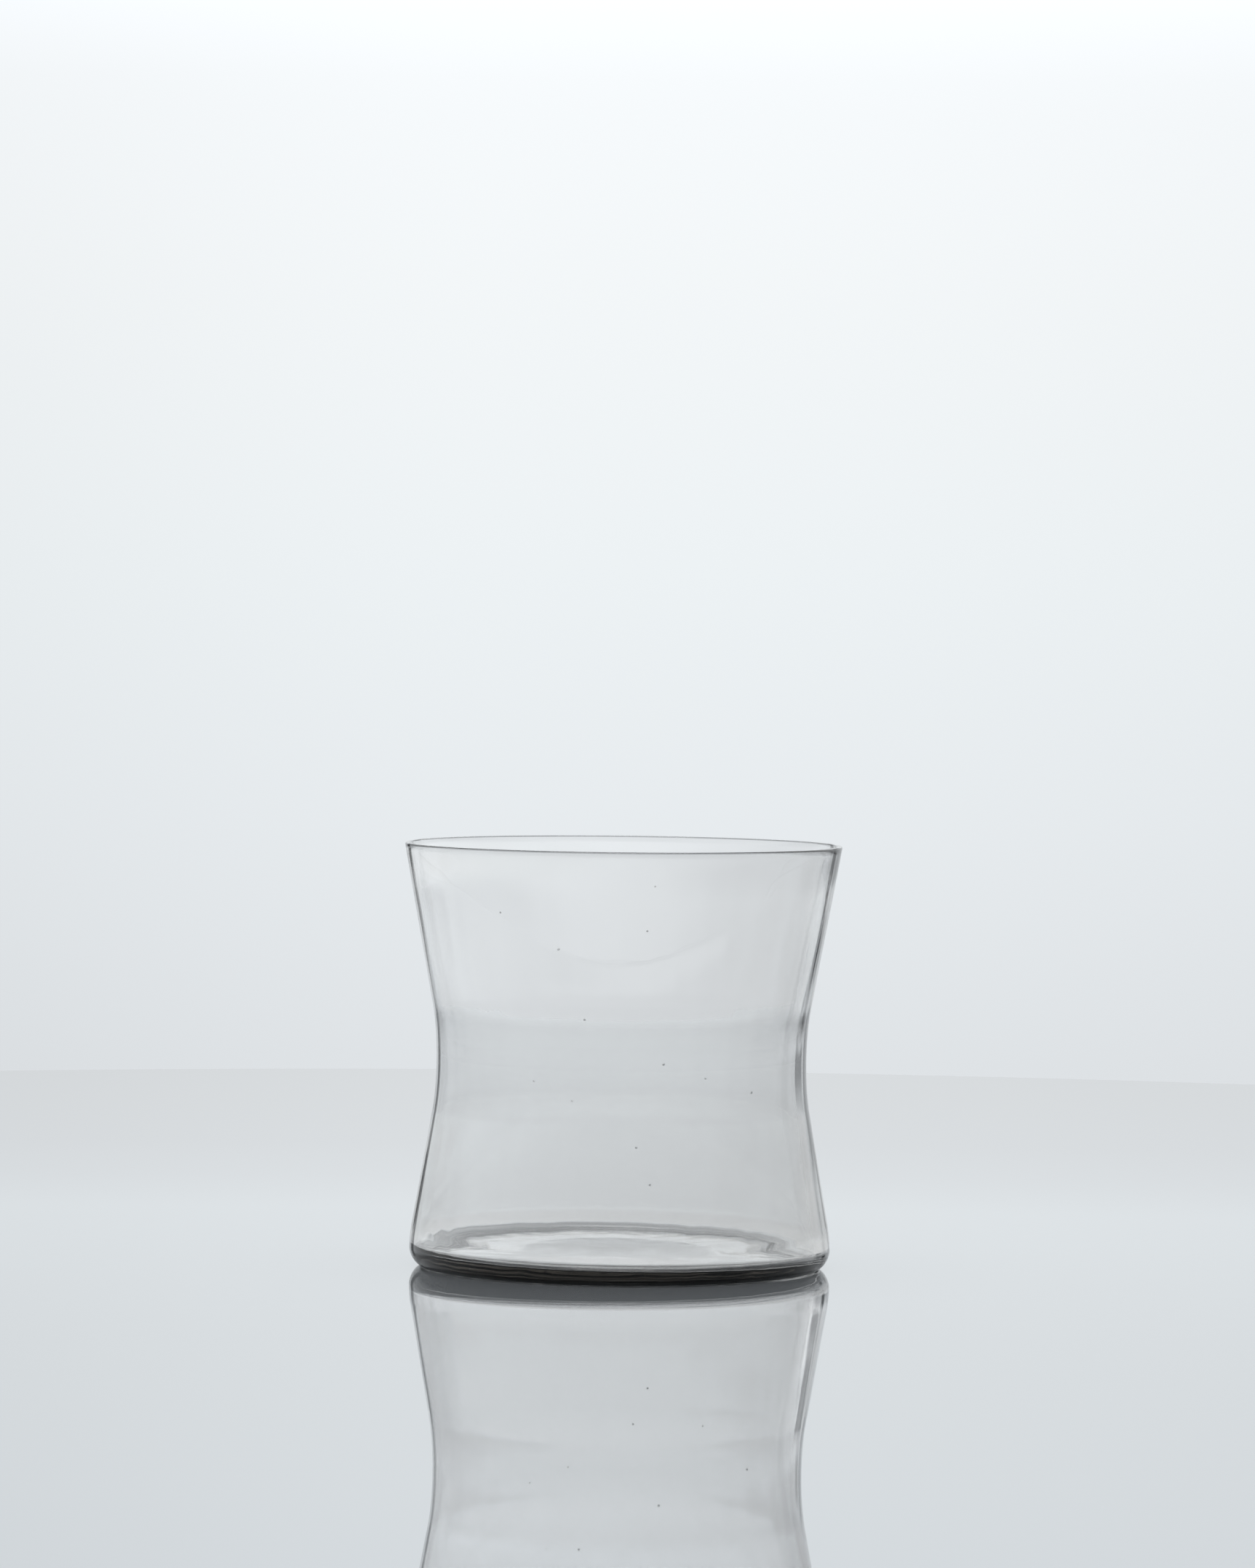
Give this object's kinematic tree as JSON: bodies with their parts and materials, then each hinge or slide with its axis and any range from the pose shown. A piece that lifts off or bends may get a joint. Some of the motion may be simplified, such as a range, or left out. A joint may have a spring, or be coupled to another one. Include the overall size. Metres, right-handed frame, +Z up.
{
  "type": "whiskey tumbler",
  "caption": "Low waisted drinking glass in pale smoke-grey blown glass, with a thin flared wall, a rounded heel and a thick clear base.",
  "frame": {"origin": "middle of the foot, on the surface that the glass stands on", "axes": "+Z up, along the axis that the glass was turned on; X and Y are level and alike"},
  "size_m": [0.088, 0.088, 0.0852],
  "materials": {
    "smoke_glass": "clear, fire-polished blown glass with a pale smoke-grey tint that darkens to brown-black along the thick base"
  },
  "bodies": {
    "root": {"base": "smoke_glass", "side_wall": "smoke_glass", "rim": "smoke_glass"}
  },
  "joints": []
}
